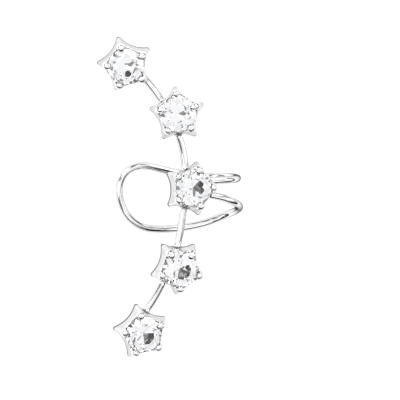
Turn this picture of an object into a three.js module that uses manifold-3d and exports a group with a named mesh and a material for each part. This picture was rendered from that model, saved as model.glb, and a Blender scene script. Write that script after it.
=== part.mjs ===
// Silver ear cuff: a curved wire bar carries five claw-set crystal stars, and a hairpin of wire,
// curled into a C behind the middle star, grips the rim of the ear.
// Millimetres. The cuff lies on the back of its wire hairpin, stars up, with +Z up.

import * as THREE from 'three';
import { mergeVertices } from 'three/addons/utils/BufferGeometryUtils.js';
import Module from 'manifold-3d';

// Crystals: round brilliants
const STONE_DIAMETER = 4.0;
const TABLE_DIAMETER = 2.2;
const CROWN_HEIGHT = 0.6;
const GIRDLE_BAND = 0.12;
const PAVILION_DEPTH = 1.62;
const CROWN_BREAK = 0.46;
const PAVILION_BREAK = 0.5;
const MAIN_FACETS = 8;
const STONE_GAP = 0.06;

// Star settings
const SETTING_HEIGHT = 2.2;
const SETTING_FLOOR = 0.46;
const SETTING_WALL = 0.24;
const POINT_LENGTH = 1.16;
const HOLLOW_RIM = 0.05;
const HOLLOW_FLARE = 0.15;
const CAVITY_FOOT_POINT = 0.75;
const CAVITY_RIM_POINT = 0.38;
const POINT_ROUNDING = 0.26;
const INNER_ROUNDING = 0.08;
const TIP_HALF_ANGLE = 62;
const CAVITY_RISE = 0.14;
const POINTS = 5;

// Claws
const CLAW_WIDTH = 0.8;
const CLAW_THICKNESS = 0.6;
const CLAW_RISE = 0.5;
const CLAW_GRIP = 0.5;
const CLAW_ROOT = 0.9;

// Bar
const BAR_DIAMETER = 0.8;
const BAR_RADIUS = 20.5;
const BAR_HALF_SWEEP = 48.5;

// Cuff wire
const WIRE_DIAMETER = 0.8;
const CUFF_DEPTH = 5.5;
const LOOP_LENGTH = 10.46;
const LOOP_WIDTH = 7.32;
const LOOP_SHIFT = -1.14;
const CURL_PLACE = 4.2;
const CURL_SPREAD = 1.96;
const CURL_SHIFT = 0.27;
const ROOT_SPREAD = 0.9;
const ROOT_SHIFT = 0.53;

// Facets around each round form
const WIRE_SIDES = 10;
const SEAT_SIDES = 28;
const CLAW_SIDES = 8;
const TIP_STEPS = 3;
const SIDE_STEPS = 4;
const BAR_STEPS = 44;
const CUFF_STEPS = 76;
const CURL_STEPS = 8;

// The bar's hand-bent departures from its arc: place along the bar, from end to end, and the
// departure outwards as a share of the wire's diameter.
const BOW_ROWS = [
  { along: -1.0, outward: 0.25 },
  { along: -0.83, outward: 0.17 },
  { along: -0.65, outward: 0.0 },
  { along: -0.33, outward: -0.14 },
  { along: -0.15, outward: -0.23 },
  { along: 0.02, outward: 0.0 },
  { along: 0.2, outward: 0.19 },
  { along: 0.34, outward: 0.26 },
  { along: 0.63, outward: 0.0 },
  { along: 0.8, outward: -0.17 },
  { along: 1.0, outward: -0.25 },
];

// The settings from the top of the ear downwards: place along the bar, place outwards of the bar's
// line as a share of the stone's diameter, the lean outwards, the nod along the bar and the turn of
// the first point, all three in degrees, and how far each claw is folded over the stone.
const SETTING_ROWS = [
  {
    name: '1', along: 0.97, outward: -0.1, lean: -11.4, nod: 7.2, turn: 59.4,
    folds: [0.2, 0.5, 0.0, 0.1, 0.4],
  },
  {
    name: '2', along: 0.497, outward: 0.196, lean: -8.8, nod: 13.5, turn: 70.6,
    folds: [0.1, 1.2, 0.0, 0.3, 0.9],
  },
  {
    name: '3', along: 0.023, outward: 0.096, lean: -2.1, nod: 8.2, turn: 70.8,
    folds: [0.6, 0.2, -0.1, 0.4, 0.0],
  },
  {
    name: '4', along: -0.476, outward: 0.178, lean: -3.8, nod: -2.9, turn: 75.3,
    folds: [0.7, 0.55, 0.1, 0.1, 0.0],
  },
  {
    name: '5', along: -0.934, outward: 0.24, lean: -1.3, nod: -4.5, turn: 73.8,
    folds: [0.6, 0.2, 0.0, -0.3, 0.0],
  },
];

// The cuff wire's flat loop: place along the loop from its bend to the curls, and place across the
// loop, as shares of the loop's length and width, from the upper arm round to the lower one.
const LOOP_ROWS = [
  { along: 0.82, across: 0.327 },
  { along: 0.659, across: 0.365 },
  { along: 0.512, across: 0.414 },
  { along: 0.402, across: 0.46 },
  { along: 0.26, across: 0.5 },
  { along: 0.145, across: 0.469 },
  { along: 0.067, across: 0.396 },
  { along: 0.014, across: 0.266 },
  { along: 0.0, across: 0.101 },
  { along: 0.028, across: -0.09 },
  { along: 0.089, across: -0.264 },
  { along: 0.178, across: -0.388 },
  { along: 0.289, across: -0.47 },
  { along: 0.462, across: -0.5 },
  { along: 0.591, across: -0.499 },
  { along: 0.748, across: -0.48 },
  { along: 0.89, across: -0.447 },
];

// The two arms, upper then lower: the side of the front arm, the place across the loop where its
// curl meets the loop, as a share of the loop's width, and how much nearer to the bar its curl
// turns, as a share of the cuff's depth.
const ARM_ROWS = [
  { side: 1, back: 0.287, short: 0.045 },
  { side: -1, back: -0.411, short: 0.0 },
];

// A claw's sections from root to tip: place inwards from its point towards its tip, height from the
// girdle to the claw's crest, and its width and thickness, as shares of those sizes.
const CLAW_ROWS = [
  { inward: 0.0, up: -1.0, width: 0.8, thickness: 0.8 },
  { inward: 0.0, up: 0.0, width: 1.0, thickness: 1.0 },
  { inward: 0.06, up: 0.5, width: 0.98, thickness: 0.98 },
  { inward: 0.3, up: 0.86, width: 0.84, thickness: 0.8 },
  { inward: 0.7, up: 0.84, width: 0.6, thickness: 0.55 },
  { inward: 1.0, up: 0.5, width: 0.38, thickness: 0.32 },
];

// A setting's outer wall from foot to rim: height, reach of the points and flare of the hollows
// between them, as shares of the setting's height, the points' length and the flare.
const WALL_ROWS = [
  { up: 0.0, point: 0.94, hollow: 0.8 },
  { up: 0.1, point: 1.0, hollow: 1.0 },
  { up: 0.5, point: 0.84, hollow: 0.6 },
  { up: 0.85, point: 0.66, hollow: 0.2 },
  { up: 1.0, point: 0.53, hollow: 0.0 },
];

const wasm = await Module();
wasm.setup();

const SILVER = new THREE.MeshStandardMaterial({ color: 0xe4e5e8, roughness: 0.12, metalness: 1.0 });
const CRYSTAL = new THREE.MeshStandardMaterial({ color: 0xf4f7fa, roughness: 0.03, metalness: 0.0 });

const stoneRadius = STONE_DIAMETER / 2;
const tableRadius = TABLE_DIAMETER / 2;
const hollowRadius = stoneRadius + HOLLOW_RIM;
const barHeight = WIRE_DIAMETER / 2 + CUFF_DEPTH;
const pointStep = (2 * Math.PI) / POINTS;

const onCircle = (radius, angle, height = 0) =>
  new THREE.Vector3(radius * Math.cos(angle), radius * Math.sin(angle), height);

// A closed body through rings of as many points each, capped at its first and last ring.
function loft(rings) {
  const count = rings[0].length;
  const points = rings.flat();
  const triangles = [];
  for (let ring = 0; ring + 1 < rings.length; ring += 1) {
    for (let i = 0; i < count; i += 1) {
      const a = ring * count + i;
      const b = ring * count + ((i + 1) % count);
      triangles.push(a, b, b + count, a, b + count, a + count);
    }
  }
  for (const [ring, first] of [[rings[0], 0], [rings.at(-1), points.length - count]]) {
    const centre = points.length;
    points.push(ring.reduce((sum, point) => sum.add(point), new THREE.Vector3()).divideScalar(count));
    for (let i = 0; i < count; i += 1) {
      const a = first + i;
      const b = first + ((i + 1) % count);
      triangles.push(...(first === 0 ? [b, a, centre] : [a, b, centre]));
    }
  }
  const geometry = new THREE.BufferGeometry().setFromPoints(points);
  geometry.setIndex(triangles);
  return geometry;
}

function toSolid(geometry, matrix = new THREE.Matrix4()) {
  const bare = geometry.clone().applyMatrix4(matrix);
  bare.deleteAttribute('normal');
  bare.deleteAttribute('uv');
  const merged = mergeVertices(bare);
  return new wasm.Manifold(new wasm.Mesh({
    numProp: 3,
    vertProperties: new Float32Array(merged.attributes.position.array),
    triVerts: new Uint32Array(merged.index.array),
  }));
}

function toGeometry(solid) {
  const mesh = solid.getMesh();
  const geometry = new THREE.BufferGeometry();
  geometry.setAttribute('position', new THREE.BufferAttribute(mesh.vertProperties, 3));
  geometry.setIndex(new THREE.BufferAttribute(mesh.triVerts, 1));
  geometry.computeVertexNormals();
  return geometry;
}

// A round wire along a curve.
function wire(curve, diameter, steps) {
  const section = new THREE.Shape(
    Array.from({ length: WIRE_SIDES }, (_, i) => {
      const angle = (2 * Math.PI * (i + 0.5)) / WIRE_SIDES;
      return new THREE.Vector2(Math.cos(angle), Math.sin(angle)).multiplyScalar(diameter / 2);
    }),
  );
  return new THREE.ExtrudeGeometry(section, { steps, extrudePath: curve, bevelEnabled: false });
}

// The bar's line: an arc bulging along +X, with the hand-bent departures.
function barPoint(along, outward = 0) {
  const upper = BOW_ROWS.findIndex((row) => row.along >= along);
  const last = BOW_ROWS[Math.max(upper, 1)];
  const before = BOW_ROWS[Math.max(upper, 1) - 1];
  const share = (along - before.along) / (last.along - before.along);
  const bow = THREE.MathUtils.lerp(before.outward, last.outward, share) * BAR_DIAMETER;
  const angle = THREE.MathUtils.degToRad(along * BAR_HALF_SWEEP);
  const point = onCircle(BAR_RADIUS + bow + outward, angle, barHeight);
  point.x -= BAR_RADIUS;
  return point;
}

function makeBar() {
  const points = BOW_ROWS.map((row) => barPoint(row.along));
  return toSolid(wire(new THREE.CatmullRomCurve3(points, false, 'centripetal'), BAR_DIAMETER, BAR_STEPS));
}

// One arm from the bar to the loop: straight in front, then half a turn down to the loop's level.
function armPoints(row) {
  const radius = CUFF_DEPTH / 2;
  const points = [new THREE.Vector3(0, ROOT_SHIFT + (row.side * ROOT_SPREAD) / 2, barHeight)];
  const front = CURL_SHIFT + (row.side * CURL_SPREAD) / 2;
  const back = LOOP_SHIFT + row.back * LOOP_WIDTH;
  for (let i = 0; i <= CURL_STEPS; i += 1) {
    const turn = (Math.PI * i) / CURL_STEPS;
    points.push(new THREE.Vector3(
      CURL_PLACE - row.short * CUFF_DEPTH + radius * Math.sin(turn),
      THREE.MathUtils.lerp(front, back, i / CURL_STEPS),
      barHeight - radius + radius * Math.cos(turn),
    ));
  }
  return points;
}

function makeCuffWire() {
  const [upper, lower] = ARM_ROWS.map(armPoints);
  const loop = LOOP_ROWS.map((row) => new THREE.Vector3(
    CURL_PLACE + (row.along - 1) * LOOP_LENGTH,
    LOOP_SHIFT + row.across * LOOP_WIDTH,
    WIRE_DIAMETER / 2,
  ));
  const route = [...upper, ...loop, ...lower.reverse()];
  return toSolid(wire(new THREE.CatmullRomCurve3(route, false, 'centripetal'), WIRE_DIAMETER, CUFF_STEPS));
}

// A star's outline with rounded points and hollow sides, at the given distances from its middle.
function starOutline(point, hollow, rounding) {
  const reach = point - rounding;
  const tips = Array.from({ length: POINTS }, (_, i) => {
    const facing = i * pointStep;
    const centre = onCircle(reach, facing);
    return Array.from({ length: TIP_STEPS + 1 }, (_, k) => {
      const angle = facing + THREE.MathUtils.degToRad(TIP_HALF_ANGLE) * ((2 * k) / TIP_STEPS - 1);
      return centre.clone().add(onCircle(rounding, angle));
    });
  });
  return tips.flatMap((tip, i) => {
    const start = tip.at(-1);
    const end = tips[(i + 1) % POINTS][0];
    const middle = onCircle(hollow, (i + 0.5) * pointStep);
    const control = middle.multiplyScalar(2).addScaledVector(start, -0.5).addScaledVector(end, -0.5);
    const side = new THREE.QuadraticBezierCurve3(start, control, end).getPoints(SIDE_STEPS);
    return [...tip, ...side.slice(1, -1)];
  });
}

const atLevel = (outline, height) =>
  outline.map((point) => new THREE.Vector3(point.x, point.y, height));

function makeClaw(fold) {
  const rootRadius = stoneRadius + WALL_ROWS.at(-1).point * POINT_LENGTH - CLAW_THICKNESS / 2;
  const tipRadius = stoneRadius - CLAW_GRIP * fold;
  const lift = (CROWN_HEIGHT * Math.max(0, stoneRadius - tipRadius)) / (stoneRadius - tableRadius);
  const line = CLAW_ROWS.map((row) => new THREE.Vector2(
    THREE.MathUtils.lerp(rootRadius, tipRadius, row.inward),
    SETTING_HEIGHT + row.inward * lift + row.up * (row.up < 0 ? CLAW_ROOT : CLAW_RISE),
  ));
  return loft(CLAW_ROWS.map((row, k) => {
    const ahead = line[Math.min(k + 1, line.length - 1)].clone().sub(line[Math.max(k - 1, 0)]).normalize();
    return Array.from({ length: CLAW_SIDES }, (_, i) => {
      const angle = (2 * Math.PI * (i + 0.5)) / CLAW_SIDES;
      const depth = (Math.cos(angle) * row.thickness * CLAW_THICKNESS) / 2;
      const side = (Math.sin(angle) * row.width * CLAW_WIDTH) / 2;
      return new THREE.Vector3(line[k].x + depth * ahead.y, side, line[k].y - depth * ahead.x);
    });
  }));
}

// The room that a stone needs, with its gap all round.
function stoneRoom() {
  const slant = STONE_GAP * Math.SQRT2;
  const profile = [
    [0, -GIRDLE_BAND / 2 - PAVILION_DEPTH - slant],
    [stoneRadius + STONE_GAP, -GIRDLE_BAND / 2 - STONE_GAP / 2],
    [stoneRadius + STONE_GAP, GIRDLE_BAND / 2 + STONE_GAP / 2],
    [tableRadius + STONE_GAP, GIRDLE_BAND / 2 + CROWN_HEIGHT + STONE_GAP],
    [0, GIRDLE_BAND / 2 + CROWN_HEIGHT + STONE_GAP],
  ].map(([x, y]) => new THREE.Vector2(x, y));
  return new THREE.LatheGeometry(profile, SEAT_SIDES)
    .rotateX(Math.PI / 2)
    .translate(0, 0, SETTING_HEIGHT);
}

// One star cup with its claws, standing on its floor at the origin.
function makeSetting(folds) {
  let solid = toSolid(loft(WALL_ROWS.map((row) => atLevel(
    starOutline(
      stoneRadius + row.point * POINT_LENGTH,
      hollowRadius + row.hollow * HOLLOW_FLARE,
      POINT_ROUNDING,
    ),
    row.up * SETTING_HEIGHT,
  ))));
  folds.forEach((fold, i) => {
    const turn = new THREE.Matrix4().makeRotationZ(i * pointStep);
    solid = solid.add(toSolid(makeClaw(fold), turn));
  });
  const cavity = loft([
    [CAVITY_FOOT_POINT, SETTING_FLOOR],
    [CAVITY_RIM_POINT, SETTING_HEIGHT + CAVITY_RISE],
  ].map(([point, height]) => atLevel(
    starOutline(stoneRadius + point, hollowRadius - SETTING_WALL, INNER_ROUNDING),
    height,
  )));
  return solid.subtract(toSolid(cavity)).subtract(toSolid(stoneRoom()));
}

// A round brilliant: table, star facets, kites and upper halves over the girdle, then lower halves
// and mains down to the culet.
function makeStone() {
  const step = Math.PI / MAIN_FACETS;
  const crownMid = THREE.MathUtils.lerp(tableRadius, stoneRadius, CROWN_BREAK);
  const pavilionMid = stoneRadius * PAVILION_BREAK;
  const top = GIRDLE_BAND / 2;
  const crownHeight = (radius) =>
    top + (CROWN_HEIGHT * (stoneRadius - radius * Math.cos(step))) / (stoneRadius - tableRadius);
  const pavilionHeight = (radius) =>
    -top - PAVILION_DEPTH * (1 - (radius * Math.cos(step)) / stoneRadius);
  const points = [];
  const ring = (count, radius, height, shift = 0) => {
    const start = points.length;
    for (let i = 0; i < count; i += 1) {
      points.push(onCircle(radius, (i + shift) * ((2 * Math.PI) / count), height));
    }
    return (i) => start + ((i + count) % count);
  };
  const table = ring(MAIN_FACETS, tableRadius, top + CROWN_HEIGHT);
  const crown = ring(MAIN_FACETS, crownMid, crownHeight(crownMid), 0.5);
  const upper = ring(2 * MAIN_FACETS, stoneRadius, top);
  const lower = ring(2 * MAIN_FACETS, stoneRadius, -top);
  const pavilion = ring(MAIN_FACETS, pavilionMid, pavilionHeight(pavilionMid), 0.5);
  const culet = points.push(new THREE.Vector3(0, 0, -top - PAVILION_DEPTH)) - 1;
  const triangles = [];
  for (let i = 1; i + 1 < MAIN_FACETS; i += 1) {
    triangles.push(table(0), table(i), table(i + 1));
  }
  for (let i = 0; i < MAIN_FACETS; i += 1) {
    const g = 2 * i;
    triangles.push(table(i), crown(i), table(i + 1));
    triangles.push(table(i), crown(i - 1), upper(g), table(i), upper(g), crown(i));
    triangles.push(crown(i), upper(g), upper(g + 1), crown(i), upper(g + 1), upper(g + 2));
    triangles.push(pavilion(i), lower(g + 1), lower(g), pavilion(i), lower(g + 2), lower(g + 1));
    triangles.push(culet, pavilion(i), lower(g), culet, lower(g), pavilion(i - 1));
  }
  for (let i = 0; i < 2 * MAIN_FACETS; i += 1) {
    triangles.push(upper(i), lower(i), lower(i + 1), upper(i), lower(i + 1), upper(i + 1));
  }
  const geometry = new THREE.BufferGeometry().setFromPoints(points);
  geometry.setIndex(triangles);
  geometry.computeVertexNormals();
  return geometry;
}

const cuff = new THREE.Group();
let silver = makeBar().add(makeCuffWire());
for (const row of SETTING_ROWS) {
  const station = new THREE.Group();
  const seat = new THREE.Group();
  station.position.copy(barPoint(row.along, row.outward * STONE_DIAMETER));
  station.rotation.z = THREE.MathUtils.degToRad(row.along * BAR_HALF_SWEEP);
  const [nod, lean, turn] = [-row.nod, row.lean, row.turn].map(THREE.MathUtils.degToRad);
  seat.rotation.set(nod, lean, turn, 'YXZ');
  station.add(seat);
  cuff.add(station);
  station.updateMatrixWorld(true);
  silver = silver.add(toSolid(toGeometry(makeSetting(row.folds)), seat.matrixWorld));
  const stone = new THREE.Mesh(makeStone(), CRYSTAL.clone());
  stone.name = `crystal_${row.name}`;
  stone.position.z = SETTING_HEIGHT;
  seat.add(stone);
}
const frame = new THREE.Mesh(toGeometry(silver), SILVER);
frame.name = 'silver_frame';
cuff.add(frame);

// The origin is the middle of the footprint, on the surface that the cuff lies on.
const box = new THREE.Box3().setFromObject(cuff, true);
const middle = box.getCenter(new THREE.Vector3());
cuff.position.set(-middle.x, -middle.y, -box.min.z);

export default cuff;
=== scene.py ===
import math

import bmesh
import bpy
import numpy as np
from mathutils import Matrix, Vector


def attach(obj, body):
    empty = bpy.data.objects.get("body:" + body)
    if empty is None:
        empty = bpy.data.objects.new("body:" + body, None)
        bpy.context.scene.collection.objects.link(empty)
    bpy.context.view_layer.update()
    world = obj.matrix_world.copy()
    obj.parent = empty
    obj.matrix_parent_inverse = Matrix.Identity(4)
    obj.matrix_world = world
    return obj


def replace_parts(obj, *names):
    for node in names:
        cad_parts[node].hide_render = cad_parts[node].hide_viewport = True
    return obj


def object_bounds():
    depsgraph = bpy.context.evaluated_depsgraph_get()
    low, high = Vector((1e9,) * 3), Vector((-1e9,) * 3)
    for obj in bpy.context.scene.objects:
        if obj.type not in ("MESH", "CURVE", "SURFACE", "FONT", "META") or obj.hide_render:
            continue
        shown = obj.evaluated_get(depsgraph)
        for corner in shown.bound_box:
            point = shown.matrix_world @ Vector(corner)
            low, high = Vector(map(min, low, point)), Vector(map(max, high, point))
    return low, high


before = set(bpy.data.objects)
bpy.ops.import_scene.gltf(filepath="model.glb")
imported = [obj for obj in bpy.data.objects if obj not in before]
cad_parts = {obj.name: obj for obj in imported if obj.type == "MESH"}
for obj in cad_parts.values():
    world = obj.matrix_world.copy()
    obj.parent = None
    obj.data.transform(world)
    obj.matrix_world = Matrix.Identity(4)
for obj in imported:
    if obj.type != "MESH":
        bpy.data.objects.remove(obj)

# Lengths are in millimetres unless a heading says metres. MM turns them into metres.
MM = 0.001
cad_box = [list(corner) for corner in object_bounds()]

# Where the bar's middle lies from the frame's origin.
SHIFT = np.array([1.3666, 0.3256, 0.0057])

# Crystals
STONE_DIAMETER = 4.0
TABLE_DIAMETER = 2.2
CROWN_HEIGHT = 0.6
GIRDLE_BAND = 0.12
PAVILION_DEPTH = 1.62
CROWN_BREAK = 0.46
PAVILION_BREAK = 0.5
MAIN_FACETS = 8
SEAT_GAP = 0.03
BLANK_SIDES = 64
CUT_TOLERANCE = 1e-5
WELD_TOLERANCE = 1e-4
CRYSTAL_INDEX = 1.79

# Star settings
SETTING_HEIGHT = 2.2
SETTING_FLOOR = 0.46
SETTING_WALL = 0.24
POINT_LENGTH = 1.16
HOLLOW_RIM = 0.05
HOLLOW_FLARE = 0.15
CAVITY_FOOT_POINT = 0.75
CAVITY_RIM_POINT = 0.38
POINT_ROUNDING = 0.26
INNER_ROUNDING = 0.08
TIP_HALF_ANGLE = 62
TIP_STEPS = 10
SIDE_STEPS = 14
CAVITY_RISE = 0.14
POINTS = 5

# Claws
CLAW_WIDTH = 0.8
CLAW_THICKNESS = 0.6
CLAW_RISE = 0.5
CLAW_GRIP = 0.5
CLAW_ROOT = 0.9

# Bar and cuff wire
WIRE_DIAMETER = 0.8
BAR_RADIUS = 20.5
BAR_HALF_SWEEP = 48.5
CUFF_DEPTH = 5.5
LOOP_LENGTH = 10.46
LOOP_WIDTH = 7.32
LOOP_SHIFT = -1.14
CURL_PLACE = 4.2
CURL_SPREAD = 1.96
CURL_SHIFT = 0.27
ROOT_SPREAD = 0.9
ROOT_SHIFT = 0.53
CURL_STEPS = 8
WIRE_STEP = 0.12
SPAN_STEPS = 24
SMOOTHING_REACH = 3
WIRE_SIDES = 26
FIRST_ACROSS = (0.3, 0.5, 0.8)
BAR_EASE = 0.5
CUFF_EASE = 0.45
ARM_STEPS = 40
END_RINGS = (0.35, 0.75, 0.95)
END_BULGE = 0.5

# How softly the cast and soldered forms run into each other
EDGE_BLEND = 0.14
RIM_BLEND = 0.2
CLAW_BLEND = 0.24
CLAW_SWELL = 0.1
CAVITY_BLEND = 0.05
SEAT_BLEND = 0.02
SOLDER_BLEND = 0.34
SOLDER_REACH = (2.5, 3.25)
SOLDER_SKIN = 0.012
SOLDER_SINK = 0.14
SOLDER_TOP = 1.6
SOLDER_POINTS = 14
FEWEST_POINTS = 4

# The grid on which a setting is worked out, and where on it the claws and the wires are looked for
GRID_STEP = 0.065
GRID_LOW = (-3.5, -3.5, -0.85)
GRID_HIGH = (3.5, 3.5, 3.15)
CUP_LEVELS = 15
CUP_SPAN_STEPS = 12
CLAW_STEPS = 26
CLAW_SPAN_STEPS = 5
CLAW_CORE = 0.3
CLAW_MARGIN = 0.7
CLAW_NEAREST = 0.9
CLAW_SECTOR = 0.8
WIRE_NEAR = 5.5
FAR = 1e3
FARTHEST = 1e9
TINY = 1e-12
LEAST_SLOPE = 1e-6
CELL_CORNERS = 8
ROUNDS_OF_EASE = 2
SHARE_OF_EASE = 0.35

# Oxide and painted shade on the castings: oxide and painted shade in the cavity, painted shade along the
# foot of the walls and in the creases; how much, and the heights, depths and shares of metal over which
# they fade
RIM_MARGIN = 0.12
RIM_FADE = (0.0, 0.3)
HOLLOW_FADE = (0.0, 0.12)
WALL_FADE = (0.03, 0.12)
# painted shade: a dark band along the foot of the outer walls
FOOT_PAINTED_SHADE = 0.85
FOOT_FADE = (0.35, 0.85)
# painted shade: darker in the creases, where the metal closes round
CREASE_PAINTED_SHADE = 0.45
CREASE_FADE = (0.55, 0.7)
CREASE_REACH = 4

# Noises in the materials: scale per metre, detail and roughness
POLISH_NOISE = (2600.0, 4.0, 0.6)
HAND_NOISE = (520.0, 2.0, 0.45)
CLOUD_NOISE = (240.0, 3.0, 0.5)
CRYSTAL_NOISE = (900.0, 2.0, 0.5)
PAPER_NOISE = (800.0, 2.0, 0.5)

# Tones and gloss, with the waves' height in metres
WHOLE = (0.0, 1.0)
MIDDLE = (0.3, 0.7)
SILVER_TONES = ((0.86, 0.86, 0.865, 1), (0.93, 0.932, 0.935, 1))
SILVER_ROUGHNESS = (0.07, 0.16)
DRAWN_EDGE = 0.05
CAST_EDGE = 0.68
# near-black tone for oxide and painted shade in the cavity, and painted shade along the foot and in the
# creases
OXIDE_AND_SHADE_TONE = (0.02, 0.02, 0.022, 1)
OXIDE_DULLNESS = 0.45
WAVE_STRENGTH = 0.35
WAVE_HEIGHT = 0.00004
CRYSTAL_TONES = ((0.98, 0.985, 0.99, 1), (0.99, 0.995, 1.0, 1))
CRYSTAL_ROUGHNESS = (0.0, 0.02)
PAPER_TONES = ((0.34, 0.34, 0.34, 1), (0.36, 0.36, 0.36, 1))
PAPER_ROUGHNESS = 0.9
PAPER_SPECULAR = 0.1
PAPER_GLOW = 0.84

# Studio, in metres
FLOOR_SIDE = 1.5
SKY_STRENGTH = 2.4
SKY_BLUE = 1.01
PANELS_AROUND = 6.0
PANEL_TURN = 1.2
GAP_SPAN = (-0.1, -0.5)
GAP_DEPTH = 0.93
GAP_GREY = 0.06
CEILING_SPAN = (0.94, 0.86)
FLAG_TILT = 0.9
FLAG_SPAN = (0.42, -0.12)
FLAG_GREY = 0.02
LAMP_SIZE = (0.3, 0.25)
LAMP_ENERGY = 0.6
LAMP_PLACE = (-0.3, 0.35, 0.45)

# Camera
CAMERA_RIGHT = (0.9629, 0.0, 0.27)
CAMERA_TOWARDS = (-0.2679, 0.1246, 0.9554)
CAMERA_AIM = (0.02, 0.434, 0.0)
AIM_RIGHT = 1.561
AIM_UP = -1.293
CAMERA_DISTANCE = 450.0
FRAME_WIDTH = 44.6
SENSOR_WIDTH = 36.0

# place along the bar, departure outwards as a share of the wire's diameter
BOW_ROWS = [
    (-1.0, 0.25), (-0.83, 0.17), (-0.65, 0.0), (-0.33, -0.14), (-0.15, -0.23), (0.02, 0.0),
    (0.2, 0.19), (0.34, 0.26), (0.63, 0.0), (0.8, -0.17), (1.0, -0.25),
]

# name, place along the bar, place outwards as a share of the stone's diameter, lean outwards, nod
# along the bar and turn of the first point in degrees, and how far each claw is folded inwards
SETTING_ROWS = [
    ("1", 0.97, -0.1, -11.4, 7.2, 59.4, (0.2, 0.5, 0.0, 0.1, 0.4)),
    ("2", 0.497, 0.196, -8.8, 13.5, 70.6, (0.1, 1.2, 0.0, 0.3, 0.9)),
    ("3", 0.023, 0.096, -2.1, 8.2, 70.8, (0.6, 0.2, -0.1, 0.4, 0.0)),
    ("4", -0.476, 0.178, -3.8, -2.9, 75.3, (0.7, 0.55, 0.1, 0.1, 0.0)),
    ("5", -0.934, 0.24, -1.3, -4.5, 73.8, (0.6, 0.2, 0.0, -0.3, 0.0)),
]

# place along the loop from its bend to the curls and across it, from the upper arm to the lower
LOOP_ROWS = [
    (0.82, 0.327), (0.659, 0.365), (0.512, 0.414), (0.402, 0.46), (0.26, 0.5), (0.145, 0.469),
    (0.067, 0.396), (0.014, 0.266), (0.0, 0.101), (0.028, -0.09), (0.089, -0.264), (0.178, -0.388),
    (0.289, -0.47), (0.462, -0.5), (0.591, -0.499), (0.748, -0.48), (0.89, -0.447),
]

# side of the front arm, place across the loop where its curl ends, how much nearer its curl turns
ARM_ROWS = [(1, 0.287, 0.045), (-1, -0.411, 0.0)]

# a claw from root to tip: place inwards, height over the girdle, width and thickness, as shares
CLAW_ROWS = [
    (0.0, -1.0, 0.8, 0.8), (0.0, 0.0, 1.0, 1.0), (0.06, 0.5, 0.98, 0.98),
    (0.3, 0.86, 0.84, 0.8), (0.7, 0.84, 0.6, 0.55), (1.0, 0.5, 0.38, 0.32),
]

# a setting's outer wall from foot to rim: height, reach of the points, flare of the hollows
WALL_ROWS = [(0.0, 0.94, 0.8), (0.1, 1.0, 1.0), (0.5, 0.84, 0.6), (0.85, 0.66, 0.2), (1.0, 0.53, 0.0)]

# the sky from horizon to zenith: the sine of the height, grey
SKY_ROWS = [(0.0, 0.12), (0.2, 0.18), (0.46, 1.0), (0.7, 1.0), (0.88, 0.42), (1.0, 0.42)]

STONE_RADIUS = STONE_DIAMETER / 2
TABLE_RADIUS = TABLE_DIAMETER / 2
HOLLOW_RADIUS = STONE_RADIUS + HOLLOW_RIM
BAR_HEIGHT = WIRE_DIAMETER / 2 + CUFF_DEPTH
WIRE_RADIUS = WIRE_DIAMETER / 2


def on_circle(radius, angle):
    return np.array([radius * math.cos(angle), radius * math.sin(angle)])


def lerp(a, b, share):
    return a + (b - a) * share


def smoothstep(low, high, value):
    share = np.clip((value - low) / (high - low), 0, 1)
    return share * share * (3 - 2 * share)


def join(a, b, blend):
    """The union of two distance fields, run into each other over the blend."""
    h = np.maximum(blend - np.abs(a - b), 0) / blend
    return np.minimum(a, b) - h * h * blend / 4


def keep(a, b, blend):
    return -join(-a, -b, blend)


# The lines and meshes of the wires

def curve_through(points, per_span=SPAN_STEPS):
    """A smooth curve through the points, which keeps close to them where they are uneven."""
    rows = np.array(points, float)
    rows = np.vstack([2 * rows[0] - rows[1], rows, 2 * rows[-1] - rows[-2]])
    curve = []
    for i in range(1, len(rows) - 2):
        before, start, end, after = rows[i - 1:i + 3]
        pairs = ((before, start), (start, end), (end, after))
        t0, t1, t2 = (math.sqrt(np.linalg.norm(b - a)) for a, b in pairs)
        leaving = ((start - before) / t0 - (end - before) / (t0 + t1) + (end - start) / t1) * t1
        arriving = ((end - start) / t1 - (after - start) / (t1 + t2) + (after - end) / t2) * t1
        for k in range(per_span):
            s = k / per_span
            curve.append(
                (2 * s**3 - 3 * s**2 + 1) * start + (s**3 - 2 * s**2 + s) * leaving
                + (3 * s**2 - 2 * s**3) * end + (s**3 - s**2) * arriving
            )
    curve.append(rows[-2])
    return np.array(curve)


def even(points, step, soften=0.0):
    """The same line in equal steps, with its bends eased over the given length."""
    length = np.concatenate([[0], np.cumsum(np.linalg.norm(np.diff(points, axis=0), axis=1))])
    count = max(2, round(length[-1] / step))
    at = np.linspace(0, length[-1], count + 1)
    line = np.stack([np.interp(at, length, points[:, k]) for k in range(3)], axis=1)
    if soften:
        reach = math.ceil(SMOOTHING_REACH * soften / step)
        weights = np.exp(-0.5 * (np.arange(-reach, reach + 1) * step / soften) ** 2)
        weights /= weights.sum()
        first = 2 * line[0] - line[reach:0:-1]
        last = 2 * line[-1] - line[-2:-reach - 2:-1]
        long = np.vstack([first, line, last])
        line = np.stack([np.convolve(long[:, k], weights, "valid") for k in range(3)], axis=1)
    return line


def bar_point(along, outward=0.0):
    bow = np.interp(along, [row[0] for row in BOW_ROWS], [row[1] for row in BOW_ROWS]) * WIRE_DIAMETER
    x, y = on_circle(BAR_RADIUS + bow + outward, math.radians(along * BAR_HALF_SWEEP))
    return np.array([x - BAR_RADIUS, y, BAR_HEIGHT])


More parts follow.
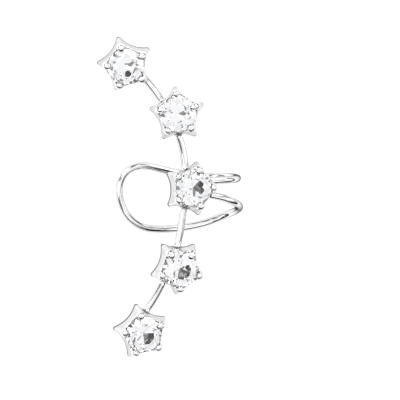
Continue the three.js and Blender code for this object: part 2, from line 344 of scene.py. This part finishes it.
def arm_points(side, back, short):
    radius = CUFF_DEPTH / 2
    points = [(0.0, ROOT_SHIFT + side * ROOT_SPREAD / 2, BAR_HEIGHT)]
    front = CURL_SHIFT + side * CURL_SPREAD / 2
    rear = LOOP_SHIFT + back * LOOP_WIDTH
    for i in range(CURL_STEPS + 1):
        turn = math.pi * i / CURL_STEPS
        points.append((
            CURL_PLACE - short * CUFF_DEPTH + radius * math.sin(turn),
            lerp(front, rear, i / CURL_STEPS),
            BAR_HEIGHT - radius + radius * math.cos(turn),
        ))
    return points


def bar_line():
    return even(curve_through([bar_point(row[0]) for row in BOW_ROWS]), WIRE_STEP, BAR_EASE)


def cuff_line():
    upper, lower = (arm_points(*row) for row in ARM_ROWS)
    loop = [
        (CURL_PLACE + (along - 1) * LOOP_LENGTH, LOOP_SHIFT + across * LOOP_WIDTH, WIRE_RADIUS)
        for along, across in LOOP_ROWS
    ]
    return even(curve_through(upper + loop + lower[::-1]), WIRE_STEP, CUFF_EASE)


def sweep(line, radius, sides=WIRE_SIDES):
    """A round wire along a line, with rounded ends."""
    tangents = np.gradient(line, axis=0)
    tangents /= np.linalg.norm(tangents, axis=1)[:, None]
    normal = np.cross(tangents[0], FIRST_ACROSS)
    normal /= np.linalg.norm(normal)
    angles = 2 * math.pi * np.arange(sides) / sides
    rings = []

    def rounded(side, share):
        return point + side * tangent * radius * math.sqrt(1 - share * share) * END_BULGE + ring * share

    for k, (point, tangent) in enumerate(zip(line, tangents)):
        normal = normal - tangent * normal.dot(tangent)
        normal /= np.linalg.norm(normal)
        across = np.cross(tangent, normal)
        ring = radius * (np.outer(np.cos(angles), normal) + np.outer(np.sin(angles), across))
        if k == 0:
            rings += [rounded(-1, share) for share in END_RINGS]
        rings.append(point + ring)
        if k == len(line) - 1:
            rings += [rounded(1, share) for share in END_RINGS[::-1]]
    count = len(rings)
    i = np.arange(count - 1)[:, None] * sides
    j = np.arange(sides)
    k = (j + 1) % sides
    quads = np.stack([i + j, i + k, i + sides + k, i + sides + j], axis=2).reshape(-1, 4).tolist()
    ends = [list(range(sides))[::-1], list(range((count - 1) * sides, count * sides))]
    return np.vstack(rings), quads + ends


# Star settings as distance fields

def star_outline(point, hollow, rounding):
    """A star with rounded tips and hollow sides, as one closed line."""
    reach = point - rounding
    step = 2 * math.pi / POINTS
    tips = []
    for i in range(POINTS):
        centre = on_circle(reach, i * step)
        turns = [math.radians(TIP_HALF_ANGLE) * (2 * k / TIP_STEPS - 1) for k in range(TIP_STEPS + 1)]
        tips.append([centre + on_circle(rounding, i * step + turn) for turn in turns])
    outline = []
    for i, tip in enumerate(tips):
        start, end = tip[-1], tips[(i + 1) % POINTS][0]
        middle = on_circle(hollow, (i + 0.5) * step)
        control = 2 * middle - 0.5 * start - 0.5 * end
        outline += tip
        for k in range(1, SIDE_STEPS):
            s = k / SIDE_STEPS
            outline.append((1 - s) ** 2 * start + 2 * s * (1 - s) * control + s * s * end)
    return np.array(outline)


def outline_distance(x, y, outline):
    """Signed distance to a closed outline, negative inside."""
    nearest = np.full(x.shape, FARTHEST)
    inside = np.zeros(x.shape, bool)
    for (ax, ay), (bx, by) in zip(outline, np.roll(outline, -1, axis=0)):
        ex, ey = bx - ax, by - ay
        share = np.clip(((x - ax) * ex + (y - ay) * ey) / (ex * ex + ey * ey), 0, 1)
        nearest = np.minimum(nearest, (x - ax - share * ex) ** 2 + (y - ay - share * ey) ** 2)
        crosses = (ay > y) != (by > y)
        with np.errstate(divide="ignore", invalid="ignore"):
            inside ^= crosses & (x < (bx - ax) * (y - ay) / (by - ay) + ax)
    return np.where(inside, -1, 1) * np.sqrt(nearest)


def claw_field(x, y, z, turn, fold):
    """Distance to one claw: a curved, tapering bar of oval section, rounded fuller but no higher."""
    out = x * math.cos(turn) + y * math.sin(turn)
    side = -x * math.sin(turn) + y * math.cos(turn)
    root = STONE_RADIUS + WALL_ROWS[-1][1] * POINT_LENGTH - CLAW_THICKNESS / 2
    tip = STONE_RADIUS - CLAW_GRIP * fold
    lift = CROWN_HEIGHT * max(0, STONE_RADIUS - tip) / (STONE_RADIUS - TABLE_RADIUS)
    rows = []
    for inward, up, width, thickness in CLAW_ROWS:
        height = SETTING_HEIGHT + inward * lift + up * (CLAW_ROOT if up < 0 else CLAW_RISE)
        half = (width * CLAW_WIDTH / 2, thickness * CLAW_THICKNESS / 2)
        rows.append((lerp(root, tip, inward), height, *half))
    rows = np.array(rows)
    fine = np.linspace(0, len(rows) - 1, CLAW_STEPS)
    spline = curve_through(rows[:, :3], CLAW_SPAN_STEPS)
    at = np.linspace(0, len(rows) - 1, len(spline))
    line = np.stack([np.interp(fine, at, spline[:, 0]), np.interp(fine, at, spline[:, 1])], axis=1)
    half_width = np.interp(fine, np.arange(len(rows)), rows[:, 2])
    half_depth = np.interp(fine, np.arange(len(rows)), rows[:, 3])
    nearest = np.full(x.shape, FARTHEST)
    for k in range(len(line) - 1):
        start_out, start_up = line[k]
        step_out, step_up = line[k + 1] - line[k]
        along = (out - start_out) * step_out + (z - start_up) * step_up
        share = np.clip(along / (step_out * step_out + step_up * step_up + TINY), 0, 1)
        off = (out - start_out - share * step_out) ** 2 + (z - start_up - share * step_up) ** 2
        deep = lerp(half_depth[k], half_depth[k + 1], share)
        wide = lerp(half_width[k], half_width[k + 1], share)
        level = np.sqrt(off / deep**2 + side**2 / wide**2)
        slope = np.sqrt(off / deep**4 + side**2 / wide**4) + LEAST_SLOPE
        core = (level - 1) * np.minimum(deep, wide)
        nearest = np.minimum(nearest, np.where(level < CLAW_CORE, core, level * (level - 1) / slope))
    return nearest


def line_distance(x, y, z, line):
    """Distance to a line of straight steps."""
    nearest = np.full(x.shape, FARTHEST)
    for start, end in zip(line[:-1], line[1:]):
        step = end - start
        from_start = [place - start[k] for k, place in enumerate((x, y, z))]
        along = from_start[0] * step[0] + from_start[1] * step[1] + from_start[2] * step[2]
        share = np.clip(along / step.dot(step), 0, 1)
        off_x, off_y, off_z = (from_start[k] - share * step[k] for k in range(3))
        nearest = np.minimum(nearest, off_x**2 + off_y**2 + off_z**2)
    return np.sqrt(nearest)


def seat_matrix(along, outward, lean, nod, turn):
    place = Matrix.Translation(Vector(bar_point(along, outward * STONE_DIAMETER)))
    return (
        place
        @ Matrix.Rotation(math.radians(along * BAR_HALF_SWEEP), 4, "Z")
        @ Matrix.Rotation(math.radians(lean), 4, "Y")
        @ Matrix.Rotation(math.radians(-nod), 4, "X")
        @ Matrix.Rotation(math.radians(turn), 4, "Z")
    )


def cup_grid():
    """A grid in a setting's own axes, with the distances to the cup's outer and inner walls."""
    low = np.array(GRID_LOW)
    high = np.array(GRID_HIGH)
    counts = np.ceil((high - low) / GRID_STEP).astype(int) + 1
    axes = [low[k] + GRID_STEP * np.arange(counts[k]) for k in range(3)]
    x, y, z = np.meshgrid(*axes, indexing="ij")
    flat_x, flat_y = x[:, :, 0], y[:, :, 0]
    wall_rows = curve_through(WALL_ROWS, CUP_SPAN_STEPS)
    levels = np.linspace(0, 1, CUP_LEVELS)
    outer, inner = [], []
    for level in levels:
        point = STONE_RADIUS + np.interp(level, wall_rows[:, 0], wall_rows[:, 1]) * POINT_LENGTH
        hollow = HOLLOW_RADIUS + np.interp(level, wall_rows[:, 0], wall_rows[:, 2]) * HOLLOW_FLARE
        outer.append(outline_distance(flat_x, flat_y, star_outline(point, hollow, POINT_ROUNDING)))
        rise = (level * SETTING_HEIGHT - SETTING_FLOOR) / (SETTING_HEIGHT + CAVITY_RISE - SETTING_FLOOR)
        point = STONE_RADIUS + lerp(CAVITY_FOOT_POINT, CAVITY_RIM_POINT, max(rise, 0))
        outline = star_outline(point, HOLLOW_RADIUS - SETTING_WALL, INNER_ROUNDING)
        inner.append(outline_distance(flat_x, flat_y, outline))
    at = np.clip(axes[2] / SETTING_HEIGHT, 0, 1) * (len(levels) - 1)
    before = np.minimum(at.astype(int), len(levels) - 2)
    fields = []
    for stack in (outer, inner):
        stack = np.stack(stack, axis=2)
        fields.append(lerp(stack[:, :, before], stack[:, :, before + 1], at - before))
    return low, x, y, z, *fields


def stone_room(around, above):
    """Distance to the room that a stone needs, with its gap all round."""
    half_band = GIRDLE_BAND / 2
    crown_slope = (STONE_RADIUS - TABLE_RADIUS) / CROWN_HEIGHT
    pavilion_slope = STONE_RADIUS / PAVILION_DEPTH
    beyond = around - STONE_RADIUS
    crown = (beyond + (above - half_band) * crown_slope) / math.hypot(1, crown_slope)
    pavilion = (beyond - (above + half_band) * pavilion_slope) / math.hypot(1, pavilion_slope)
    sides = np.maximum(np.maximum(crown, pavilion), beyond)
    return np.maximum(sides, above - half_band - CROWN_HEIGHT) - SEAT_GAP


def setting_field(row, wires, grid):
    """The cast cup, its claws and the solder round the wires, on a grid in the setting's own axes."""
    x, y, z, outer, inner = grid[1:]
    around = np.hypot(x, y)
    field = keep(keep(outer, -z, EDGE_BLEND), z - SETTING_HEIGHT, RIM_BLEND)
    for i, fold in enumerate(row[6]):
        near = (z > SETTING_HEIGHT - CLAW_ROOT - CLAW_MARGIN) & (around > CLAW_NEAREST)
        angle = 2 * math.pi * i / POINTS
        near &= (x * math.cos(angle) + y * math.sin(angle)) > CLAW_SECTOR * around
        claw = np.full(x.shape, FAR)
        claw[near] = claw_field(x[near], y[near], z[near] + CLAW_SWELL, angle, fold) - CLAW_SWELL
        field = join(field, claw, CLAW_BLEND)
    to_local = seat_matrix(*row[1:6]).inverted()
    low_part = z < SOLDER_TOP
    solder_radius = WIRE_RADIUS + SOLDER_SKIN - SOLDER_SINK * smoothstep(*SOLDER_REACH, around[low_part])
    for wire in wires:
        local = np.array([to_local @ Vector(point) for point in wire])
        local = local[np.linalg.norm(local, axis=1) < WIRE_NEAR]
        if len(local) < FEWEST_POINTS:
            continue
        local = local[:: max(1, len(local) // SOLDER_POINTS)]
        near = np.full(x.shape, FAR)
        near[low_part] = line_distance(x[low_part], y[low_part], z[low_part], local) - solder_radius
        field = join(field, near, SOLDER_BLEND)
    cavity = np.maximum(np.maximum(inner, SETTING_FLOOR - z), z - SETTING_HEIGHT - CAVITY_RISE)
    field = keep(field, -cavity, CAVITY_BLEND)
    return keep(field, -stone_room(around, z - SETTING_HEIGHT), SEAT_BLEND)


def surface_vertices(field, cells, low, step):
    """A vertex in each cell, in the middle of the places where the surface crosses its edges."""
    total = np.zeros((len(cells), 3))
    hits = np.zeros(len(cells))
    for axis in range(3):
        others = [k for k in range(3) if k != axis]
        for a in (0, 1):
            for b in (0, 1):
                start = np.zeros(3, int)
                start[others[0]], start[others[1]] = a, b
                end = start.copy()
                end[axis] = 1
                near = field[tuple((cells + start).T)]
                far = field[tuple((cells + end).T)]
                crosses = (near < 0) != (far < 0)
                share = np.where(crosses, near / np.where(crosses, near - far, 1), 0)
                point = start + share[:, None] * (end - start)
                total += crosses[:, None] * point
                hits += crosses
    return low + step * (cells + total / hits[:, None])


def surface_quads(inside, index):
    """A quad round each grid edge that the surface crosses, facing out of the metal."""
    size = index.shape
    faces = []
    for axis in range(3):
        u, v = [k for k in range(3) if k != axis]
        here = [slice(1, count) for count in size]
        here[axis] = slice(0, size[axis])
        there = list(here)
        there[axis] = slice(1, size[axis] + 1)
        low_end, high_end = inside[tuple(here)], inside[tuple(there)]
        edges = np.argwhere(low_end != high_end)
        flip = low_end[tuple(edges.T)]
        edges = edges + 1
        edges[:, axis] -= 1
        corners = []
        for du, dv in ((1, 1), (0, 1), (0, 0), (1, 0)):
            cell = edges.copy()
            cell[:, u] -= du
            cell[:, v] -= dv
            corners.append(index[tuple(cell.T)])
        quads = np.stack(corners, axis=1)
        if axis == 1:
            flip = ~flip
        quads[~flip] = quads[~flip][:, ::-1]
        faces.append(quads)
    return np.vstack(faces)


def surface_of(field, low, step):
    """The zero surface of a distance field as a mesh of quads."""
    inside = field < 0
    size = np.array(field.shape) - 1
    count = np.zeros(size, np.int8)
    for i in (0, 1):
        for j in (0, 1):
            for k in (0, 1):
                count += inside[i:size[0] + i, j:size[1] + j, k:size[2] + k]
    mixed = (count > 0) & (count < CELL_CORNERS)
    cells = np.argwhere(mixed)
    index = np.full(size, -1)
    index[mixed] = np.arange(len(cells))
    return surface_vertices(field, cells, low, step), surface_quads(inside, index)


def ease(vertices, faces, rounds, share):
    """Moves each vertex a share of the way to its neighbours' middle."""
    pairs = np.vstack([faces[:, [0, 1]], faces[:, [1, 2]], faces[:, [2, 3]], faces[:, [3, 0]]])
    for _ in range(rounds):
        total = np.zeros_like(vertices)
        count = np.zeros(len(vertices))
        for a, b in ((0, 1), (1, 0)):
            for k in range(3):
                total[:, k] += np.bincount(pairs[:, a], vertices[pairs[:, b], k], len(vertices))
            count += np.bincount(pairs[:, a], minlength=len(vertices))
        vertices = vertices + share * (total / count[:, None] - vertices)
    return vertices


# Pieces

def new_piece(name, vertices, faces, slot, material, smooth=True, shades=None):
    mesh = bpy.data.meshes.new(name)
    placed = np.clip((np.asarray(vertices) + SHIFT) * MM, *cad_box)
    mesh.from_pydata(placed, [], [list(map(int, face)) for face in faces])
    mesh.update()
    if shades is not None:
        layer = mesh.attributes.new("recess", "FLOAT", "POINT")
        layer.data.foreach_set("value", np.asarray(shades, np.float32))
    mesh.polygons.foreach_set("use_smooth", [smooth] * len(mesh.polygons))
    piece = bpy.data.objects.new(name, mesh)
    bpy.context.scene.collection.objects.link(piece)
    mesh.materials.append(material)
    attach(piece, "root")
    return piece


def solid_share(field, step, reach):
    """How much of the space around each place is metal, in a cube of the given reach."""
    solid = np.clip(0.5 - field / step, 0, 1)
    for axis in range(3):
        padded = np.pad(solid, [(reach + 1, reach) if k == axis else (0, 0) for k in range(3)], "edge")
        total = np.cumsum(padded, axis=axis)
        count = solid.shape[axis]
        high = np.take(total, np.arange(count) + 2 * reach + 1, axis=axis)
        solid = (high - np.take(total, np.arange(count), axis=axis)) / (2 * reach + 1)
    return solid


def sample(values, low, step, points):
    """The grid's values nearest to the points."""
    at = np.clip(np.round((points - low) / step).astype(int), 0, np.array(values.shape) - 1)
    return values[tuple(at.T)]


def make_setting(row, wires, grid, material):
    """One cast setting, with oxide and painted shade in its cavity, and painted shade in its creases and
    along the foot of its walls.
    """
    low, outer, inner = grid[0], grid[4], grid[5]
    field = setting_field(row, wires, grid)
    vertices, faces = surface_of(field, low, GRID_STEP)
    vertices = ease(vertices, faces, ROUNDS_OF_EASE, SHARE_OF_EASE)
    from_outer, from_inner, metal = (
        sample(values, low, GRID_STEP, vertices)
        for values in (outer, inner, solid_share(field, GRID_STEP, CREASE_REACH))
    )
    height = vertices[:, 2]
    # oxide and painted shade: dark inside the cavity, fading out just above the rim
    cavity = 1 - smoothstep(*HOLLOW_FADE, from_inner)
    cavity = cavity * smoothstep(*RIM_FADE, SETTING_HEIGHT + RIM_MARGIN - height)
    # painted shade: a dark band along the foot of the outer wall, which draws the setting's outline
    foot = FOOT_PAINTED_SHADE * (1 - smoothstep(*WALL_FADE, from_outer)) * (1 - smoothstep(*FOOT_FADE, height))
    # painted shade: darker where the metal closes round, in creases at claw roots and solder joints, as
    # ambient occlusion would be
    crease = CREASE_PAINTED_SHADE * smoothstep(*CREASE_FADE, metal)
    recess = np.maximum.reduce([cavity, foot, crease])
    matrix = np.array(seat_matrix(*row[1:6]))
    placed = vertices @ matrix[:3, :3].T + matrix[:3, 3]
    return new_piece(f"star_setting_{row[0]}", placed, faces, "silver", material, shades=recess)


def brilliant_planes():
    """The facet planes of a round brilliant: a point on each plane and its outward normal."""
    step = math.pi / MAIN_FACETS
    top = GIRDLE_BAND / 2
    crown_mid = lerp(TABLE_RADIUS, STONE_RADIUS, CROWN_BREAK)
    pavilion_mid = STONE_RADIUS * PAVILION_BREAK
    inner = math.cos(step)
    crown_share = (STONE_RADIUS - crown_mid * inner) / (STONE_RADIUS - TABLE_RADIUS)
    crown_height = top + CROWN_HEIGHT * crown_share
    pavilion_height = -top - PAVILION_DEPTH * (1 - pavilion_mid * inner / STONE_RADIUS)

    def at(radius, turn, height):
        return Vector((*on_circle(radius, turn * step), height))

    planes = [(Vector((0, 0, top + CROWN_HEIGHT)), Vector((0, 0, 1)))]

    def through(a, b, c):
        normal = (b - a).cross(c - a).normalized()
        planes.append((a, normal if normal.dot(a) > 0 else -normal))

    for i in range(MAIN_FACETS):
        k = 2 * i
        table_0, table_1 = (at(TABLE_RADIUS, turn, top + CROWN_HEIGHT) for turn in (k, k + 2))
        crown_0, crown_1 = at(crown_mid, k - 1, crown_height), at(crown_mid, k + 1, crown_height)
        through(table_0, table_1, crown_1)
        through(table_0, crown_0, crown_1)
        through(crown_1, at(STONE_RADIUS, k, top), at(STONE_RADIUS, k + 1, top))
        through(crown_1, at(STONE_RADIUS, k + 1, top), at(STONE_RADIUS, k + 2, top))
        low_0, low_1 = at(pavilion_mid, k - 1, pavilion_height), at(pavilion_mid, k + 1, pavilion_height)
        through(Vector((0, 0, -top - PAVILION_DEPTH)), low_0, low_1)
        through(low_1, at(STONE_RADIUS, k, -top), at(STONE_RADIUS, k + 1, -top))
        through(low_1, at(STONE_RADIUS, k + 1, -top), at(STONE_RADIUS, k + 2, -top))
    return planes


def make_stone(row, material):
    """One stone, cut from a round blank plane by plane, over its setting."""
    bm = bmesh.new()
    bmesh.ops.create_cone(
        bm, cap_ends=True, segments=BLANK_SIDES, radius1=STONE_RADIUS, radius2=STONE_RADIUS,
        depth=2 * (PAVILION_DEPTH + CROWN_HEIGHT),
    )
    for point, normal in brilliant_planes():
        parts = bm.verts[:] + bm.edges[:] + bm.faces[:]
        cut = bmesh.ops.bisect_plane(
            bm, geom=parts, plane_co=point, plane_no=normal, clear_outer=True, dist=CUT_TOLERANCE
        )
        rim = [e for e in cut["geom_cut"] if isinstance(e, bmesh.types.BMEdge) and e.is_boundary]
        if rim:
            bmesh.ops.edgeloop_fill(bm, edges=rim)
    bmesh.ops.remove_doubles(bm, verts=bm.verts[:], dist=WELD_TOLERANCE)
    bmesh.ops.recalc_face_normals(bm, faces=bm.faces[:])
    bm.verts.index_update()
    matrix = seat_matrix(*row[1:6]) @ Matrix.Translation((0, 0, SETTING_HEIGHT))
    vertices = [matrix @ v.co for v in bm.verts]
    faces = [[v.index for v in f.verts] for f in bm.faces]
    bm.free()
    piece = new_piece(f"cut_crystal_{row[0]}", vertices, faces, "crystal", material, smooth=False)
    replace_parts(piece, f"crystal_{row[0]}")
    return piece


# Materials

def node(tree, kind, place, **settings):
    made = tree.nodes.new(kind)
    made.location = place
    for key, value in settings.items():
        if key in made.inputs:
            made.inputs[key].default_value = value
        else:
            setattr(made, key, value)
    return made


def new_material(name):
    material = bpy.data.materials.new(name)
    material.use_nodes = True
    tree = material.node_tree
    return material, tree, tree.nodes["Principled BSDF"]


def feed(tree, socket, term):
    """Gives a socket its value, or links it to another socket."""
    if isinstance(term, bpy.types.NodeSocket):
        tree.links.new(term, socket)
    else:
        socket.default_value = term


def noise(tree, place, row):
    scale, detail, roughness = row
    where = node(tree, "ShaderNodeTexCoord", (place[0] - 300, place[1]))
    made = node(tree, "ShaderNodeTexNoise", place, Scale=scale, Detail=detail, Roughness=roughness)
    feed(tree, made.inputs["Vector"], where.outputs["Object"])
    return made.outputs["Fac"]


def ramp(tree, place, source, positions, colours):
    """A colour for each value, between the given stops."""
    made = node(tree, "ShaderNodeValToRGB", place)
    stops = made.color_ramp.elements
    for stop, k in ((stops[0], 0), (stops[1], -1)):
        stop.position = positions[k]
        stop.color = colours[k]
    for position, colour in zip(positions[1:-1], colours[1:-1]):
        stops.new(position).color = colour
    feed(tree, made.inputs["Fac"], source)
    return made.outputs["Color"]


def spread(tree, place, source, span, onto, kind="LINEAR"):
    """Maps one span of values onto another, held at its ends."""
    made = node(tree, "ShaderNodeMapRange", place, interpolation_type=kind)
    for name, value in zip(("From Min", "From Max", "To Min", "To Max"), (*span, *onto)):
        made.inputs[name].default_value = value
    feed(tree, made.inputs["Value"], source)
    return made.outputs["Result"]


def sums(tree, place, operation, *terms):
    made = node(tree, "ShaderNodeMath", place, operation=operation)
    for socket, term in zip(made.inputs, terms):
        feed(tree, socket, term)
    return made.outputs["Value"]


def mix(tree, place, factor, a, b):
    made = node(tree, "ShaderNodeMix", place, data_type="RGBA")
    for name, term in (("Factor", factor), ("A", a), ("B", b)):
        feed(tree, made.inputs[name], term)
    return made.outputs["Result"]


def silver_material(name, edge):
    """Polished silver: soft polishing marks, faint hand-worked waves, and oxide and painted shade in the
    recesses.
    """
    material, tree, shader = new_material(name)
    shader.inputs["Metallic"].default_value = 1.0
    shader.inputs["Specular Tint"].default_value = (edge, edge, edge, 1)
    recess = node(tree, "ShaderNodeAttribute", (-700, 100), attribute_name="recess").outputs["Fac"]
    tint = ramp(tree, (-700, -300), noise(tree, (-1000, -300), CLOUD_NOISE), MIDDLE, SILVER_TONES)
    # base colour mixed towards near-black by the recess attribute: oxide and painted shade in the
    # cavity, painted shade along the foot and in the creases
    feed(tree, shader.inputs["Base Color"], mix(tree, (-350, -100), recess, tint, OXIDE_AND_SHADE_TONE))
    rough = spread(tree, (-700, 400), noise(tree, (-1000, 300), POLISH_NOISE), MIDDLE, SILVER_ROUGHNESS)
    dull = sums(tree, (-350, 300), "MULTIPLY_ADD", recess, OXIDE_DULLNESS, rough)
    feed(tree, shader.inputs["Roughness"], dull)
    bump = node(tree, "ShaderNodeBump", (-350, -400), Strength=WAVE_STRENGTH, Distance=WAVE_HEIGHT)
    feed(tree, bump.inputs["Height"], noise(tree, (-1000, 0), HAND_NOISE))
    feed(tree, shader.inputs["Normal"], bump.outputs["Normal"])
    return material


def crystal_material():
    """Clear lead-free crystal glass with faint polish differences."""
    material, tree, shader = new_material("clear_crystal")
    shader.inputs["Transmission Weight"].default_value = 1.0
    shader.inputs["IOR"].default_value = CRYSTAL_INDEX
    cloud = noise(tree, (-650, 0), CRYSTAL_NOISE)
    feed(tree, shader.inputs["Base Color"], ramp(tree, (-400, 100), cloud, WHOLE, CRYSTAL_TONES))
    feed(tree, shader.inputs["Roughness"], spread(tree, (-400, -200), cloud, WHOLE, CRYSTAL_ROUGHNESS))
    return material


# Floor, sky, lamp and camera

def make_floor():
    """A plain sheet of white paper that glows a little, as if lit from below."""
    material, tree, shader = new_material("studio_paper")
    shader.inputs["Roughness"].default_value = PAPER_ROUGHNESS
    shader.inputs["Specular IOR Level"].default_value = PAPER_SPECULAR
    shader.inputs["Emission Color"].default_value = (1, 1, 1, 1)
    shader.inputs["Emission Strength"].default_value = PAPER_GLOW
    grain = noise(tree, (-500, 0), PAPER_NOISE)
    feed(tree, shader.inputs["Base Color"], ramp(tree, (-300, 0), grain, WHOLE, PAPER_TONES))
    mesh = bpy.data.meshes.new("studio_floor")
    corners = [(x * FLOOR_SIDE, y * FLOOR_SIDE, 0) for x, y in ((-1, -1), (1, -1), (1, 1), (-1, 1))]
    mesh.from_pydata(corners, [], [(0, 1, 2, 3)])
    mesh.materials.append(material)
    floor = bpy.data.objects.new("studio_floor", mesh)
    bpy.context.scene.collection.objects.link(floor)


def make_sky():
    """A ring of light panels with gaps between them, a dimmer ceiling and a dark flag on one side."""
    world = bpy.data.worlds.new("studio")
    bpy.context.scene.world = world
    world.use_nodes = True
    tree = world.node_tree
    place = node(tree, "ShaderNodeTexCoord", (-900, 0))
    parts = node(tree, "ShaderNodeSeparateXYZ", (-700, 0))
    feed(tree, parts.inputs["Vector"], place.outputs["Generated"])
    x, y, z = (parts.outputs[name] for name in "XYZ")
    positions = [position for position, grey in SKY_ROWS]
    colours = [(grey, grey, grey * SKY_BLUE, 1) for position, grey in SKY_ROWS]
    sky = ramp(tree, (-400, 200), z, positions, colours)
    around = sums(tree, (-700, -500), "ARCTAN2", y, x)
    panels = sums(tree, (-550, -500), "MULTIPLY_ADD", around, PANELS_AROUND, PANEL_TURN)
    wave = sums(tree, (-400, -500), "SINE", panels)
    gap = spread(tree, (-250, -500), wave, GAP_SPAN, (0.0, GAP_DEPTH), "SMOOTHSTEP")
    below_ceiling = spread(tree, (-250, -700), z, CEILING_SPAN, WHOLE, "SMOOTHSTEP")
    dim = sums(tree, (-100, -600), "MULTIPLY", gap, below_ceiling)
    lit = mix(tree, (-250, 200), dim, sky, (GAP_GREY, GAP_GREY, GAP_GREY, 1))
    low = sums(tree, (-500, -200), "MULTIPLY_ADD", y, FLAG_TILT, z)
    flag = spread(tree, (-300, -200), low, FLAG_SPAN, WHOLE, "SMOOTHSTEP")
    shade = mix(tree, (-150, 100), flag, lit, (FLAG_GREY, FLAG_GREY, FLAG_GREY, 1))
    back = tree.nodes["Background"]
    feed(tree, back.inputs["Color"], shade)
    back.inputs["Strength"].default_value = SKY_STRENGTH


def make_lamp():
    lamp = bpy.data.lights.new("softbox", "AREA")
    lamp.shape = "RECTANGLE"
    lamp.size, lamp.size_y = LAMP_SIZE
    lamp.energy = LAMP_ENERGY
    box = bpy.data.objects.new("softbox", lamp)
    box.location = LAMP_PLACE
    box.rotation_euler = (Vector((0, 0, 0)) - box.location).to_track_quat("-Z", "Y").to_euler()
    bpy.context.scene.collection.objects.link(box)


def make_camera():
    """The camera at the photograph's angle, so far off that the cuff shows almost no perspective."""
    right = Vector(CAMERA_RIGHT)
    towards = Vector(CAMERA_TOWARDS).normalized()
    right = (right - towards * right.dot(towards)).normalized()
    up = towards.cross(right)
    seen = Vector((0.0, 0.0, BAR_HEIGHT)) + Vector(SHIFT) + Vector(CAMERA_AIM)
    target = seen + right * AIM_RIGHT + up * AIM_UP
    data = bpy.data.cameras.new("camera")
    data.sensor_width = SENSOR_WIDTH
    data.lens = SENSOR_WIDTH * CAMERA_DISTANCE / FRAME_WIDTH
    camera = bpy.data.objects.new("camera", data)
    turn = Matrix((right, up, towards)).transposed().to_4x4()
    camera.matrix_world = Matrix.Translation((target + towards * CAMERA_DISTANCE) * MM) @ turn
    bpy.context.scene.collection.objects.link(camera)
    bpy.context.scene.camera = camera


make_camera()
make_floor()
make_sky()
make_lamp()
bpy.context.scene.view_settings.view_transform = "Standard"

drawn = silver_material("drawn_silver", DRAWN_EDGE)
cast = silver_material("cast_silver", CAST_EDGE)
crystal = crystal_material()
bar, cuff = bar_line(), cuff_line()
grid = cup_grid()
for name, line in (("climber_bar", bar), ("cuff_wire", cuff)):
    piece = new_piece(name, *sweep(line, WIRE_RADIUS), "silver", drawn)
    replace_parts(piece, "silver_frame")
wires = (bar, cuff[:ARM_STEPS], cuff[-ARM_STEPS:])
for row in SETTING_ROWS:
    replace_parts(make_setting(row, wires, grid, cast), "silver_frame")
    make_stone(row, crystal)
